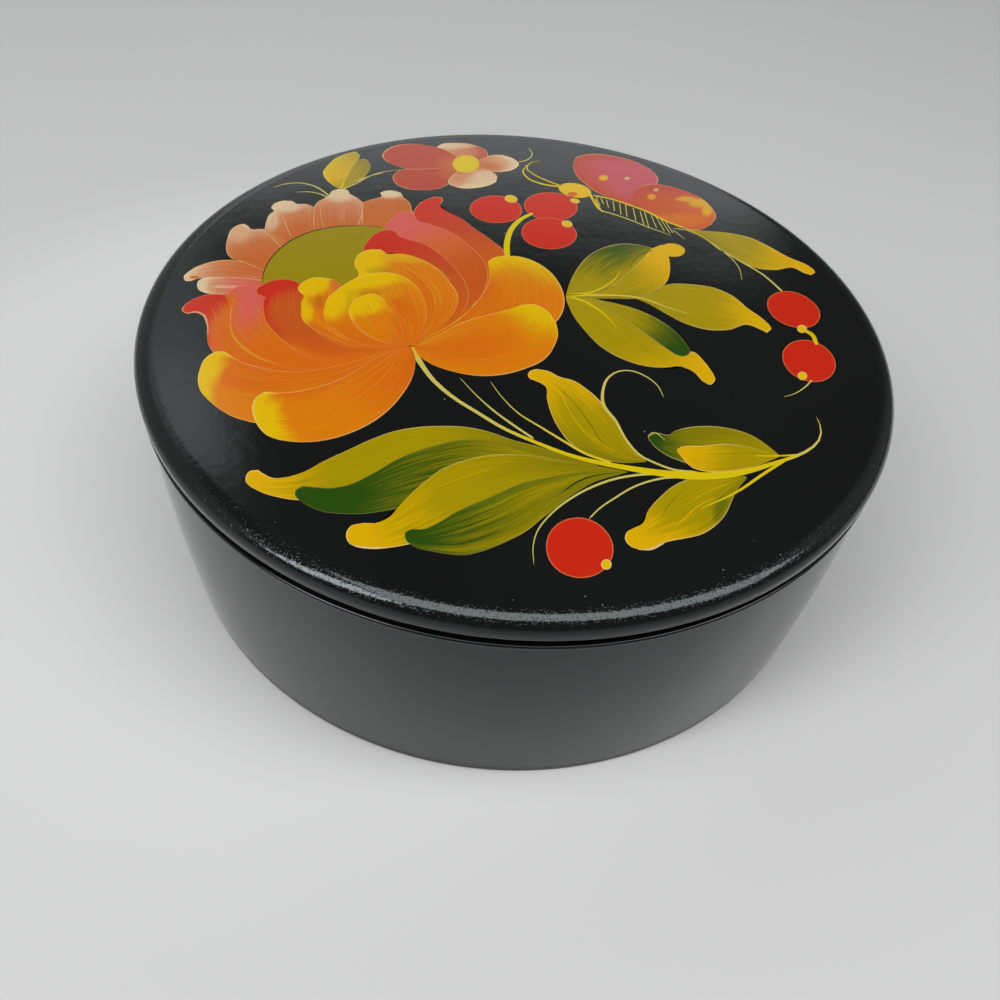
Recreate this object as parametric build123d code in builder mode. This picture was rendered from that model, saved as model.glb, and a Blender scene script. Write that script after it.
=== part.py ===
"""Round papier-mache box with a lift-off lid, lacquered black outside and red inside.

Millimetres, +Z up. The origin is the centre of the underside of the base board, where the box stands.
The box is a wound wall on a base board, with an inner sleeve that stands proud of the wall.
The lid is a board on a low skirt, and the skirt slides down over the proud part of the sleeve.
"""

import os

from build123d import *

# Lid
lid_radius = 80.0
lid_edge_width = 4.6
lid_edge_drop = 3.0
lid_board_thickness = 2.0
lid_skirt_height = 2.35
lid_foot_round = 0.5

# Wall, from its foot up to the bead below the lid
wall_height = 50.35
wall_taper = 2.1
wall_belly = 0.6
wall_foot_thickness = 2.2
wall_foot_round = 0.5
bead_radius = 0.5
bead_setback = 0.1
bead_drop = 1.9
groove_depth = 0.8

# Inner sleeve that locates the lid
sleeve_thickness = 1.8
sleeve_edge_round = 0.5

# Base board glued under the wall
base_thickness = 1.8
base_inset = 0.3
base_edge_round = 0.4

# Running clearances between the lid and the box
lid_side_clearance = 0.4
lid_headroom = 0.4

# Largest share of a piece's thickness that one rounded edge may take
edge_share = 0.45

# Radii that follow from the sizes above
shoulder_radius = lid_radius - bead_setback - bead_radius
neck_radius = shoulder_radius - groove_depth
foot_radius = shoulder_radius - wall_taper
wall_inner_radius = foot_radius - wall_foot_thickness
sleeve_inner_radius = wall_inner_radius - sleeve_thickness
base_radius = foot_radius - base_inset
skirt_inner_radius = wall_inner_radius + lid_side_clearance

# Heights that follow from the sizes above
wall_foot = base_thickness
wall_top = wall_foot + wall_height
bead_top = wall_top - bead_drop
bead_middle = bead_top - bead_radius
bead_foot = bead_middle - bead_radius
sleeve_height = wall_height + lid_skirt_height - lid_headroom
lid_board_foot = wall_top + lid_skirt_height
lid_top = lid_board_foot + lid_board_thickness

os.makedirs("parts", exist_ok=True)

# Base board: a flat pressed disc with a softened lower edge
with BuildPart() as base_board:
    with BuildSketch(Plane.XY):
        Circle(base_radius)
    extrude(amount=base_thickness)
    base_rim = base_board.edges().group_by(Axis.Z)[0]
    fillet(base_rim, min(base_edge_round, edge_share * base_thickness))
base_board.part.label = "base_board"
export_step(base_board.part, "parts/base_board.step")

# Wall: wound board turned to a shallow curve, with a half-round bead and a shallow groove just below the lid
with BuildPart() as box_wall:
    with BuildSketch(Plane.XZ) as wall_section:
        with BuildLine():
            wall_middle = (wall_foot + bead_foot) / 2
            belly_radius = (foot_radius + shoulder_radius) / 2 + wall_belly
            Line((wall_inner_radius, wall_foot), (foot_radius, wall_foot))
            ThreePointArc(
                (foot_radius, wall_foot), (belly_radius, wall_middle), (shoulder_radius, bead_foot)
            )
            ThreePointArc(
                (shoulder_radius, bead_foot),
                (shoulder_radius + bead_radius, bead_middle),
                (shoulder_radius, bead_top),
            )
            Polyline(
                (shoulder_radius, bead_top),
                (neck_radius, bead_top),
                (neck_radius, wall_top),
                (wall_inner_radius, wall_top),
                (wall_inner_radius, wall_foot),
            )
        make_face()
    revolve(axis=Axis.Z)
    foot_rim = box_wall.edges().group_by(Axis.Z)[0].sort_by(SortBy.RADIUS)[-1]
    fillet(foot_rim, min(wall_foot_round, edge_share * wall_foot_thickness))
box_wall.part.label = "box_wall"
export_step(box_wall.part, "parts/box_wall.step")

# Inner sleeve: a thin wound ring glued inside the wall, with both of its top edges rounded
with BuildPart() as inner_sleeve:
    with BuildSketch(Plane.XY.offset(base_thickness)):
        Circle(wall_inner_radius)
        Circle(sleeve_inner_radius, mode=Mode.SUBTRACT)
    extrude(amount=sleeve_height)
    sleeve_rim = inner_sleeve.edges().group_by(Axis.Z)[-1]
    fillet(sleeve_rim, min(sleeve_edge_round, edge_share * sleeve_thickness))
inner_sleeve.part.label = "inner_sleeve"
export_step(inner_sleeve.part, "parts/inner_sleeve.step")

# Section of the whole lid, whose upper edge is rounded over as a quarter of an ellipse through both its pieces
with BuildSketch(Plane.XZ) as lid_section:
    with BuildLine():
        edge_middle = (lid_radius - lid_edge_width, lid_top - lid_edge_drop)
        lid_edge = EllipticalCenterArc(edge_middle, lid_edge_width, lid_edge_drop, arc_size=90)
        Polyline(lid_edge @ 1, (0, lid_top), (0, wall_top), (lid_radius, wall_top), lid_edge @ 0)
    make_face()

# Lid skirt: the ring glued under the lid board, resting on the wall's top edge
with BuildPart() as lid_skirt:
    revolve(lid_section.sketch, axis=Axis.Z)
    split(bisect_by=Plane.XY.offset(lid_board_foot), keep=Keep.BOTTOM)
    with BuildSketch(Plane.XY.offset(wall_top)):
        Circle(skirt_inner_radius)
    extrude(amount=lid_skirt_height, mode=Mode.SUBTRACT)
    skirt_rim = lid_skirt.edges().group_by(Axis.Z)[0].sort_by(SortBy.RADIUS)[-1]
    fillet(skirt_rim, min(lid_foot_round, edge_share * lid_skirt_height))
lid_skirt.part.label = "lid_skirt"
export_step(lid_skirt.part, "parts/lid_skirt.step")

# Lid board: the painted top disc, which carries the upper part of the rounded edge
with BuildPart() as lid_board:
    revolve(lid_section.sketch, axis=Axis.Z)
    split(bisect_by=Plane.XY.offset(lid_board_foot), keep=Keep.TOP)
lid_board.part.label = "lid_board"
export_step(lid_board.part, "parts/lid_board.step")
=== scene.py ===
"""Round papier-mache box, lacquered black, with flowers, berries and a butterfly painted on its lid."""

import itertools
import math

import bmesh
import bpy
import numpy as np
from mathutils import Matrix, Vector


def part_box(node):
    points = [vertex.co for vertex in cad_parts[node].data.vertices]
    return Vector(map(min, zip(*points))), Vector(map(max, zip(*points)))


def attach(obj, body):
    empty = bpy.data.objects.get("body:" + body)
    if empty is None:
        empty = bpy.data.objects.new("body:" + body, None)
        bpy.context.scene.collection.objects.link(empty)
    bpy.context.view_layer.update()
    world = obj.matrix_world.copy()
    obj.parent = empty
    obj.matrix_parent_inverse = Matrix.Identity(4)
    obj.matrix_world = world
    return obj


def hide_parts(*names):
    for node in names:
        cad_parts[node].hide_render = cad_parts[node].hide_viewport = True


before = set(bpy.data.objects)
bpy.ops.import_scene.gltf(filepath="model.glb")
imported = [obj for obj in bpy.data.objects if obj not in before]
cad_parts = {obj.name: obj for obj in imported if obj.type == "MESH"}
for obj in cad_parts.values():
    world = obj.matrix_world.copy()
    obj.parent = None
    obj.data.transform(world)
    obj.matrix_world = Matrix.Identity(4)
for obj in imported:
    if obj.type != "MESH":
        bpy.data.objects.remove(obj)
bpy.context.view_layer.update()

# Camera
# A hand-held camera close above the front of the box, looking down on the lid, a little turned and rolled.
# The painting below is laid out by the pixels that this camera sees on the lid.
picture_size = 1000
focal_pixels = 1000
axis_pixel = (530, 540)
aim_height = 0.0015
camera_distance = 0.25632
camera_elevation = math.radians(47.28)
camera_yaw = math.radians(1.58)
camera_pitch = math.radians(2.55)
camera_roll = math.radians(-5.88)
sensor_width = 36
nearest_seen = 0.01


def camera_pose():
    """Where the camera stands, and its axes as rows: right, up and back, turned by yaw, pitch and roll."""
    aim = np.array([0, 0, aim_height])
    place = aim + camera_distance * np.array([0, -math.cos(camera_elevation), math.sin(camera_elevation)])
    back = (place - aim) / camera_distance
    right = np.array([1.0, 0, 0])
    up = np.cross(back, right)
    yaw = np.array(Matrix.Rotation(camera_yaw, 3, "Y"))
    pitch = np.array(Matrix.Rotation(camera_pitch, 3, "X"))
    roll = np.array(Matrix.Rotation(camera_roll, 3, "Z"))
    return place, roll @ pitch @ yaw @ np.array([right, up, back])


camera_place, camera_axes = camera_pose()
camera_data = bpy.data.cameras.new("camera")
camera_data.sensor_width = sensor_width
camera_data.lens = sensor_width * focal_pixels / picture_size
camera_data.shift_x = (picture_size / 2 - axis_pixel[0]) / picture_size
camera_data.shift_y = (axis_pixel[1] - picture_size / 2) / picture_size
camera_data.clip_start = nearest_seen
camera = bpy.data.objects.new("camera", camera_data)
bpy.context.scene.collection.objects.link(camera)
camera.matrix_world = Matrix.Translation(camera_place) @ Matrix(camera_axes.T).to_4x4()
bpy.context.scene.camera = camera

# Lid board
# A disc of pressed paper board with a rounded upper edge, ground smooth and coated in black oil lacquer.
# The lacquer is poured and polished on the flat and pulls into fine pimples where it runs over the edge.
board_low, board_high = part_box("lid_board")
lid_radius = 0.080
lid_top = board_high[2]
board_foot = board_low[2]
edge_size = (0.0046, 0.0030)
edge_middle = (lid_radius - edge_size[0], lid_top - edge_size[1])
board_angle = math.degrees(math.asin((board_foot - edge_middle[1]) / edge_size[1]))
flat_radius = 0.070

# Turned shapes: steps round the axis, the distance at which points join, the degrees of a sharp edge
turns = 360
turned_weld = 1e-7
turned_sharp = 40

# Lacquer: where its overrun, haze, specks and pimples begin and end, and how high they stand
edge_fade = 0.0006
no_overrun = 1.0
overrun_fade = 0.0003
overrun_colour = (30, 20, 18)
# Pale colour of the specks: partly dust, partly a painted glint of light
dust_and_glint_colour = (150, 152, 154)
haze_patches = (0.35, 0.7)
speck_patches = (0.44, 0.56)
speck_ring = (0.0700, 0.0755)
speck_strength = 0.7
pimple_ring = (0.0750, 0.0766)
pimple_flank = (0.55, 0.70)
peel_rise, swell_rise, speck_rise = 0.25, 1.4, 0.5
grit_rise, pimple_rise, coarse_rise = 0.08, 0.28, 0.35
least_roughness, cloud_roughness, speck_roughness = 0.06, 0.05, 0.3
lacquer_relief = 0.00006

# Noise in the lacquer: cells to a metre, and octaves
lacquer_noise = {
    "cloud": (18, 3.0),
    "peel": (420, 2.0),
    "swell": (55, 1.0),
    "grit": (5000, 1.0),
    "pimple": (2300, 1.0),
    "coarse": (800, 1.0),
}


class Value:
    """A number socket that takes part in plain arithmetic: each operator adds one Math node."""

    def __init__(self, shade, socket):
        self.shade = shade
        self.socket = socket

    def math(self, operation, *others):
        made = self.shade.node("ShaderNodeMath", {"operation": operation}, dict(enumerate((self, *others))))
        return made["Value"]

    def __add__(self, other):
        return self.math("ADD", other)

    def __sub__(self, other):
        return self.math("SUBTRACT", other)

    def __mul__(self, other):
        return self.math("MULTIPLY", other)

    def __truediv__(self, other):
        return self.math("DIVIDE", other)

    def __rsub__(self, other):
        return (self * -1).math("ADD", other)

    __radd__ = __add__
    __rmul__ = __mul__

    def step(self, low, high):
        """0 below low, 1 above high and smooth between them. Low may be the larger, which turns it round."""
        settings = {"interpolation_type": "SMOOTHSTEP"}
        made = self.shade.node(
            "ShaderNodeMapRange", settings, {"Value": self, "From Min": low, "From Max": high}
        )
        return made["Result"]


class Shade:
    """The nodes of one material or of the world."""

    def __init__(self, owner):
        owner.use_nodes = True
        self.owner = owner
        self.tree = owner.node_tree

    def node(self, kind, settings, values):
        """Adds a node with its settings and its socket values or links, and gives its outputs by name."""
        made = self.tree.nodes.new(kind)
        for name, setting in settings.items():
            setattr(made, name, setting)
        for key, value in values.items():
            self.feed(self.pick(made.inputs, key), value)
        return {s.name: Value(self, s) for s in made.outputs if s.enabled}

    def pick(self, sockets, key):
        if isinstance(key, int):
            return sockets[key]
        return next(s for s in sockets if s.enabled and s.name == key)

    def feed(self, socket, value):
        if isinstance(value, Value):
            self.tree.links.new(value.socket, socket)
        else:
            socket.default_value = value

    def noise(self, vector, scale, detail=2.0, roughness=0.5):
        """Smooth random cloud about 0.5, with scale cells to each unit of the vector."""
        values = {"Vector": vector, "Scale": scale, "Detail": detail, "Roughness": roughness}
        return self.node("ShaderNodeTexNoise", {}, values)["Fac"]

    def mix(self, factor, first, second, blend="MIX"):
        values = {"Factor": factor, "A": first, "B": second}
        return self.node("ShaderNodeMix", {"data_type": "RGBA", "blend_type": blend}, values)["Result"]

    def stretched(self, vector, stretch):
        """The vector with each of its parts multiplied by that part of the stretch."""
        values = {0: vector, 1: stretch}
        return self.node("ShaderNodeVectorMath", {"operation": "MULTIPLY"}, values)["Vector"]

    def place(self):
        """Object coordinates, and their x, y and z."""
        spot = self.node("ShaderNodeTexCoord", {}, {})["Object"]
        parts = self.node("ShaderNodeSeparateXYZ", {}, {"Vector": spot})
        return spot, parts["X"], parts["Y"], parts["Z"]

    def dots(self, spot, spacing, size, share):
        """Round dots at random places, one for each cell of that spacing, of which only a share are kept."""
        core, fade = 0.5, 0.02
        cells = self.node("ShaderNodeTexVoronoi", {"feature": "F1"}, {"Vector": spot, "Scale": 1 / spacing})
        chance = self.node("ShaderNodeSeparateColor", {}, {"Color": cells["Color"]})["Red"]
        outer, inner = size / spacing, core * size / spacing
        return cells["Distance"].step(outer, inner) * chance.step(1 - share, 1 + fade - share)

    def bump(self, height, depth):
        values = {"Strength": 1.0, "Distance": depth, "Height": height}
        return self.node("ShaderNodeBump", {}, values)["Normal"]

    def paint(self, **values):
        """Sets or links the surface shader's sockets: base_color feeds Base Color, and so on."""
        surface = self.tree.nodes["Principled BSDF"]
        for name, value in values.items():
            title = name.replace("_", " ").title().replace("Ior", "IOR")
            self.feed(self.pick(surface.inputs, title), value)
        return self.owner


def linear(red, green, blue):
    """A screen colour from 0 to 255 as the linear light that a shader takes, by the sRGB curve."""
    share = np.array([red, green, blue]) / 255
    light = np.where(share <= 0.04045, share / 12.92, ((share + 0.055) / 1.055) ** 2.4)
    return (*light.tolist(), 1.0)


def lacquer(name, colour, haze, overrun_from=no_overrun):
    """Glossy oil lacquer: a deep colour, faint orange peel and a few caught specks of dust. The specks' pale
    colour is partly dust and partly a painted glint of light. Pimples crowd the lid's rounded edge. Past
    the overrun radius the wall's black covers the colour."""
    shade = Shade(bpy.data.materials.new(name))
    spot, x, y, z = shade.place()
    radius = (x * x + y * y).math("SQRT")
    on_lid_edge = z.step(board_foot, board_foot + edge_fade)
    cloud, peel, swell, grit, pimple, coarse = (
        shade.noise(spot, cells, octaves) for cells, octaves in lacquer_noise.values()
    )
    lone_speck = shade.dots(spot, spacing=0.0065, size=0.00020, share=0.24)
    # Specks that crowd near the rounded edge, partly dust and partly painted glints
    edge_speck = shade.dots(spot, spacing=0.0015, size=0.00018, share=0.22) * radius.step(*speck_ring)
    edge_speck = edge_speck * cloud.step(*speck_patches) * on_lid_edge
    speck = (lone_speck + edge_speck).math("MINIMUM", 1.0)
    colour = shade.mix(cloud.step(*haze_patches), colour, haze)
    overrun = radius.step(overrun_from, overrun_from + overrun_fade)
    colour = shade.mix(overrun, colour, linear(*overrun_colour))
    # The specks painted pale: partly dust, partly painted glints of light
    colour = shade.mix(speck * speck_strength, colour, linear(*dust_and_glint_colour))
    edge = radius.step(*pimple_ring) * on_lid_edge
    pimples = grit * grit_rise + pimple.step(*pimple_flank) * pimple_rise + coarse * coarse_rise
    height = peel * peel_rise + swell * swell_rise + speck * speck_rise + pimples * edge
    rough = least_roughness + cloud * cloud_roughness + speck * speck_roughness
    return shade.paint(
        base_color=colour, roughness=rough, normal=shade.bump(height, lacquer_relief), ior=1.50,
        specular_tint=(0.91, 1.0, 1.03, 1.0),
    )


def arc(centre, reach, start, end, count):
    """Points on an ellipse from one angle to another, in degrees, as (radius out, height) pairs."""
    angle = np.radians(np.linspace(start, end, count))
    return [(centre[0] + reach[0] * math.cos(a), centre[1] + reach[1] * math.sin(a)) for a in angle]


def shell(name, places, quads, material, weld, sharp_degrees, layers=()):
    """A mesh object from numpy places and quads, with near points joined and its faces turned outward.
    It shades smoothly, but for edges sharper than the given angle. Layers are values at its points."""
    mesh = bpy.data.meshes.new(name)
    mesh.from_pydata(places.tolist(), [], quads.tolist())
    for title, kind, key, values in layers:
        mesh.attributes.new(title, kind, "POINT").data.foreach_set(key, values.astype("f").ravel())
    shape = bmesh.new()
    shape.from_mesh(mesh)
    bmesh.ops.remove_doubles(shape, verts=shape.verts, dist=weld)
    bmesh.ops.recalc_face_normals(shape, faces=shape.faces)
    shape.to_mesh(mesh)
    shape.free()
    mesh.shade_smooth()
    mesh.set_sharp_from_angle(angle=math.radians(sharp_degrees))
    mesh.materials.append(material)
    made = bpy.data.objects.new(name, mesh)
    bpy.context.scene.collection.objects.link(made)
    return made


def turned(name, outline, material):
    """A closed section of (radius out, height) points carried once round the z axis as a quad grid."""
    section = np.array(outline)
    angle = np.linspace(0, 2 * math.pi, turns, endpoint=False)
    rings = np.stack(
        [
            np.outer(np.cos(angle), section[:, 0]),
            np.outer(np.sin(angle), section[:, 0]),
            np.tile(section[:, 1], (turns, 1)),
        ],
        axis=2,
    )
    count = len(section)
    here = np.arange(turns)[:, None] * count
    there = np.roll(np.arange(turns), -1)[:, None] * count
    point = np.arange(count)[None, :]
    following = np.roll(np.arange(count), -1)[None, :]
    quads = np.stack([here + point, there + point, there + following, here + following], axis=2)
    return shell(name, rings.reshape(-1, 3), quads.reshape(-1, 4), material, turned_weld, turned_sharp)


black_lacquer = lacquer("black_lacquer", linear(15, 16, 14), linear(18, 19, 18))
board_outline = [
    (0, board_foot),
    *arc(edge_middle, edge_size, board_angle, 90, count=40),
    (flat_radius, lid_top),
    (flat_radius / 2, lid_top),
    (0, lid_top),
]
lid_top_piece = turned("lid_top", board_outline, black_lacquer)
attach(lid_top_piece, "lid")
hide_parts("lid_board")

# Lid skirt
# A low ring of the same wound board glued under the lid, so that the two read as one thick lid.
# Its lower outer edge is eased, and it slides down over the sleeve.
skirt_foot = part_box("lid_skirt")[0][2]
skirt_inner_radius = 0.0755
skirt_round = (0.0005, 0.0005)
skirt_outline = [
    (skirt_inner_radius, skirt_foot),
    *arc((lid_radius - skirt_round[0], skirt_foot + skirt_round[1]), skirt_round, -90, 0, count=8),
    *arc(edge_middle, edge_size, 0, board_angle, count=10),
    (skirt_inner_radius, board_foot),
]
skirt = turned("lid_rim", skirt_outline, black_lacquer)
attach(skirt, "lid")
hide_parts("lid_skirt")

# Box wall
# Paper board wound on a former and turned to a shallow curve that draws in to its foot.
# A half-round bead with a groove over it runs just under the lid, and the whole outside is lacquered black.
wall_low, wall_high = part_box("box_wall")
wall_foot = wall_low[2]
wall_top = wall_high[2]
bead_radius = 0.0005
bead_drop = 0.0019
bead_setback = 0.0001
groove_depth = 0.0008
wall_taper = 0.0021
wall_foot_thickness = 0.0022
wall_belly = 0.0006
bead_middle = wall_top - bead_drop - bead_radius
shoulder_radius = lid_radius - bead_setback - bead_radius
neck_radius = shoulder_radius - groove_depth
foot_radius = shoulder_radius - wall_taper
wall_inner_radius = foot_radius - wall_foot_thickness
foot_round = (0.0005, 0.0005)


def wall_curve(count=40):
    """Radius of the wall at each height: straight from foot to shoulder, plus a parabola for the belly."""
    share = np.linspace(0, 1, count)
    low = wall_foot + foot_round[1]
    height = low + share * (bead_middle - bead_radius - low)
    radius = foot_radius + share * (shoulder_radius - foot_radius) + wall_belly * 4 * share * (1 - share)
    return list(zip(radius.tolist(), height.tolist()))


wall_outline = [
    (wall_inner_radius, wall_foot),
    *arc((foot_radius - foot_round[0], wall_foot + foot_round[1]), foot_round, -90, -8, count=8),
    *wall_curve(),
    *arc((shoulder_radius, bead_middle), (bead_radius, bead_radius), -86, 90, count=18),
    (neck_radius, bead_middle + bead_radius),
    (neck_radius, wall_top),
    (wall_inner_radius, wall_top),
]
wall = turned("wall", wall_outline, black_lacquer)
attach(wall, "box")
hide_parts("box_wall")

# Inner sleeve
# A thin ring glued inside the wall that stands proud of it and locates the lid.
# It is coated in red lacquer, as the inside of such a box is.
sleeve_low, sleeve_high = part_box("inner_sleeve")
sleeve_thickness = 0.0018
sleeve_inner_radius = wall_inner_radius - sleeve_thickness
sleeve_round = (0.0005, 0.0005)
sleeve_foot = sleeve_low[2]
sleeve_shoulder = sleeve_high[2] - sleeve_round[1]
base_overrun = 0.0767
red_lacquer = lacquer("red_lacquer", linear(168, 30, 22), linear(150, 22, 18), base_overrun)
sleeve_outline = [
    (sleeve_inner_radius, sleeve_foot),
    (wall_inner_radius, sleeve_foot),
    *arc((wall_inner_radius - sleeve_round[0], sleeve_shoulder), sleeve_round, 0, 90, count=7),
    *arc((sleeve_inner_radius + sleeve_round[0], sleeve_shoulder), sleeve_round, 90, 180, count=7),
]
sleeve = turned("sleeve", sleeve_outline, red_lacquer)
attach(sleeve, "box")
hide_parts("inner_sleeve")

# Base board
# The flat disc glued under the wall, in red lacquer, set in a little. The wall's black runs over its edge,
# so that only a dark line with a hint of red shows under the wall.
base_inset = 0.0003
base_radius = foot_radius - base_inset
base_round = (0.0004, 0.0004)
base_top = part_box("base_board")[1][2]
base_outline = [
    (0, 0),
    *arc((base_radius - base_round[0], base_round[1]), base_round, -90, 0, count=7),
    (base_radius, base_top),
    (0, base_top),
]
base = turned("base", base_outline, red_lacquer)
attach(base, "box")
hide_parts("base_board")

# Peony, back petals
# Oil paint laid on the black ground with a round brush loaded with two colours, one stroke for each petal.
# The pale tips are where the brush is pressed down, and the stroke is drawn in to the heart of the flower.
# Millimetres in a metre
millimetres = 1000

# Coats: thickness, depth into the lid, the distance at which points join, the degrees of a sharp edge
coat_thickness = 0.000006
paint_bed = 0.00002
painted_weld = 1e-6
painted_sharp = 30

# Grids of the strokes: the pitch and the limits of their rows and columns, and how their ends fade
path_fineness = 24
row_pitch, row_limits = 0.0006, (14, 76)
column_pitch, column_limits = 0.00045, (8, 44)
streak_fade = 0.08
# Where the painted highlight on a stroke's rim begins along it, and over how much of it it fades in
rim_highlight_start, rim_highlight_fade = 0.1, 0.4

# Grids of the lines and the dabs, with the marks that the bristles leave along and across a line
line_rows, line_columns = 44, 5
line_marks = (30, 1.5)
end_sharpness, end_width_share = 40, 0.05
no_edge = 0.001
dab_rings, dab_spokes = 9, 56
dab_lobes, dab_phase = (2, 3, 5), 6
flat_share = 0.75

# Paint: its random draws, where each load of the brush shows in the noise, and how high the ridges stand
bristle_seed = itertools.count(1)
seed_step = 17.3
colour_layers = ("paint", "carried", "light", "deep")
# The last band is how far in from a stroke's edge the painted rim highlight reaches
carried_band, light_band, deep_band, rim_highlight_band = (0.36, 0.64), (0.52, 0.70), (0.48, 0.28), (0.30, 0.12)
streak_strength = 0.9
# Painted highlight on each stroke's raised rim: how far it pales the paint, and its colour
rim_highlight_share = 0.60
rim_highlight_colour = linear(236, 204, 136)
hair_rise = 0.5
paint_roughness, hair_roughness = 0.10, 0.05
paint_relief = 0.00002

# Noise of the bristles: stretch along, across and between strokes, octaves, and roughness
bristle_noise = {
    "bristle": ((0.06, 2.4, 1.0), 3.0, 0.6),
    "streak": ((0.05, 1.5, 1.0), 3.0, 0.65),
    "hair": ((0.09, 4.5, 1.0), 2.0, 0.6),
}

# Pots of paint, each as a screen colour from 0 to 255
pot_tones = {
    "cream": (214, 190, 154), "shell": (206, 158, 118), "peach": (194, 122, 80), "apricot": (190, 100, 42),
    "rose": (207, 92, 84), "pink": (188, 78, 88), "dusty": (176, 64, 46), "red": (193, 44, 24),
    "brick": (186, 66, 32), "rust": (190, 84, 24), "coral": (204, 98, 42), "flame": (208, 102, 12),
    "orange": (212, 120, 6), "amber": (210, 142, 8), "gold": (212, 166, 2), "yellow": (219, 178, 0),
    "lemon": (211, 186, 8), "straw": (196, 184, 96), "glow": (216, 128, 36), "olive": (160, 140, 0),
    "heart": (147, 131, 8), "moss": (126, 117, 4), "fern": (84, 98, 8), "leaf": (40, 72, 10),
    "pine": (22, 48, 10), "berry": (194, 38, 16), "umber": (120, 62, 20), "ink": (62, 54, 8),
    "peat": (34, 36, 8),
}
paint_pot = {pot: linear(*tone) for pot, tone in pot_tones.items()}


def on_lid(pixels):
    """Where the camera's ray through each pixel meets the top of the lid, as x and y in metres."""
    pixels = np.asarray(pixels, float)
    ray = np.stack(
        [
            (pixels[..., 0] - axis_pixel[0]) / focal_pixels,
            (axis_pixel[1] - pixels[..., 1]) / focal_pixels,
            -np.ones(pixels.shape[:-1]),
        ],
        axis=-1,
    ) @ camera_axes
    reach = (lid_top - camera_place[2]) / ray[..., 2:]
    return camera_place[:2] + ray[..., :2] * reach


def smooth_path(points, count):
    """Evenly spaced points on a cubic through the given ones. Its slope at each is its neighbours' mean."""
    points = np.asarray(points, float)
    gaps = np.hypot(*np.diff(points, axis=0).T)
    along = np.concatenate([[0], np.cumsum(gaps)])
    slope = np.gradient(points, along, axis=0)
    want = np.linspace(0, along[-1], path_fineness * len(points))
    span = np.clip(np.searchsorted(along, want, "right") - 1, 0, len(gaps) - 1)
    width = gaps[span][:, None]
    t = (want - along[span])[:, None] / width
    first, second = points[span], points[span + 1]
    curve = (
        (2 * t**3 - 3 * t**2 + 1) * first
        + (t**3 - 2 * t**2 + t) * width * slope[span]
        + (3 * t**2 - 2 * t**3) * second
        + (t**3 - t**2) * width * slope[span + 1]
    )
    length = np.concatenate([[0], np.cumsum(np.hypot(*np.diff(curve, axis=0).T))])
    even = np.linspace(0, length[-1], count)
    return np.stack([np.interp(even, length, curve[:, 0]), np.interp(even, length, curve[:, 1])], axis=1)


def shades_along(shades, share):
    """Colour at each share of a stroke's length. Shades are written as stops: the pot at the start, then a
    share and a pot for each further stop. The last pot runs on to the tip."""
    stops = [stop.split() for stop in f"0 {shades}".split(", ")]
    shares = [float(place) for place, _ in stops]
    pots = np.array([paint_pot[pot][:3] for _, pot in stops])
    return np.stack([np.interp(share, shares, pots[:, c]) for c in range(3)], axis=-1)


def spread(bands, u, v):
    """Colour over a stroke: its bands of shades lie side by side from left to right, each run along it, and
    a smooth step leads from one to the next."""
    lanes = np.stack([shades_along(band, u) for band in bands])
    final = len(bands) - 1
    place = v * final
    lane = np.minimum(place.astype(int), max(final - 1, 0))
    part = (place - lane)[..., None]
    part = part * part * (3 - 2 * part)
    row, column = np.indices(u.shape)
    return lanes[lane, row, column] * (1 - part) + lanes[np.minimum(lane + 1, final), row, column] * part


def blushed(colour, spots, blushes):
    """Colour with soft patches worked in: each a centre pixel, a reach in pixels each way, a pot and a
    strength. A patch is full out to 0.6 of its reach and gone at 1.4 of it."""
    full, gone = 0.6, 1.4
    for centre, reach, pot, strength in blushes:
        corner = [centre, np.add(centre, (reach[0], 0)), np.add(centre, (0, reach[1]))]
        middle, east, south = on_lid(corner)
        local = (spots - middle) @ np.linalg.inv(np.stack([east - middle, south - middle]))
        share = np.clip((gone - np.hypot(local[..., 0], local[..., 1])) / (gone - full), 0, 1)[..., None]
        share = strength * share * share * (3 - 2 * share)
        colour = colour * (1 - share) + np.array(paint_pot[pot][:3]) * share
    return colour


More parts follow.
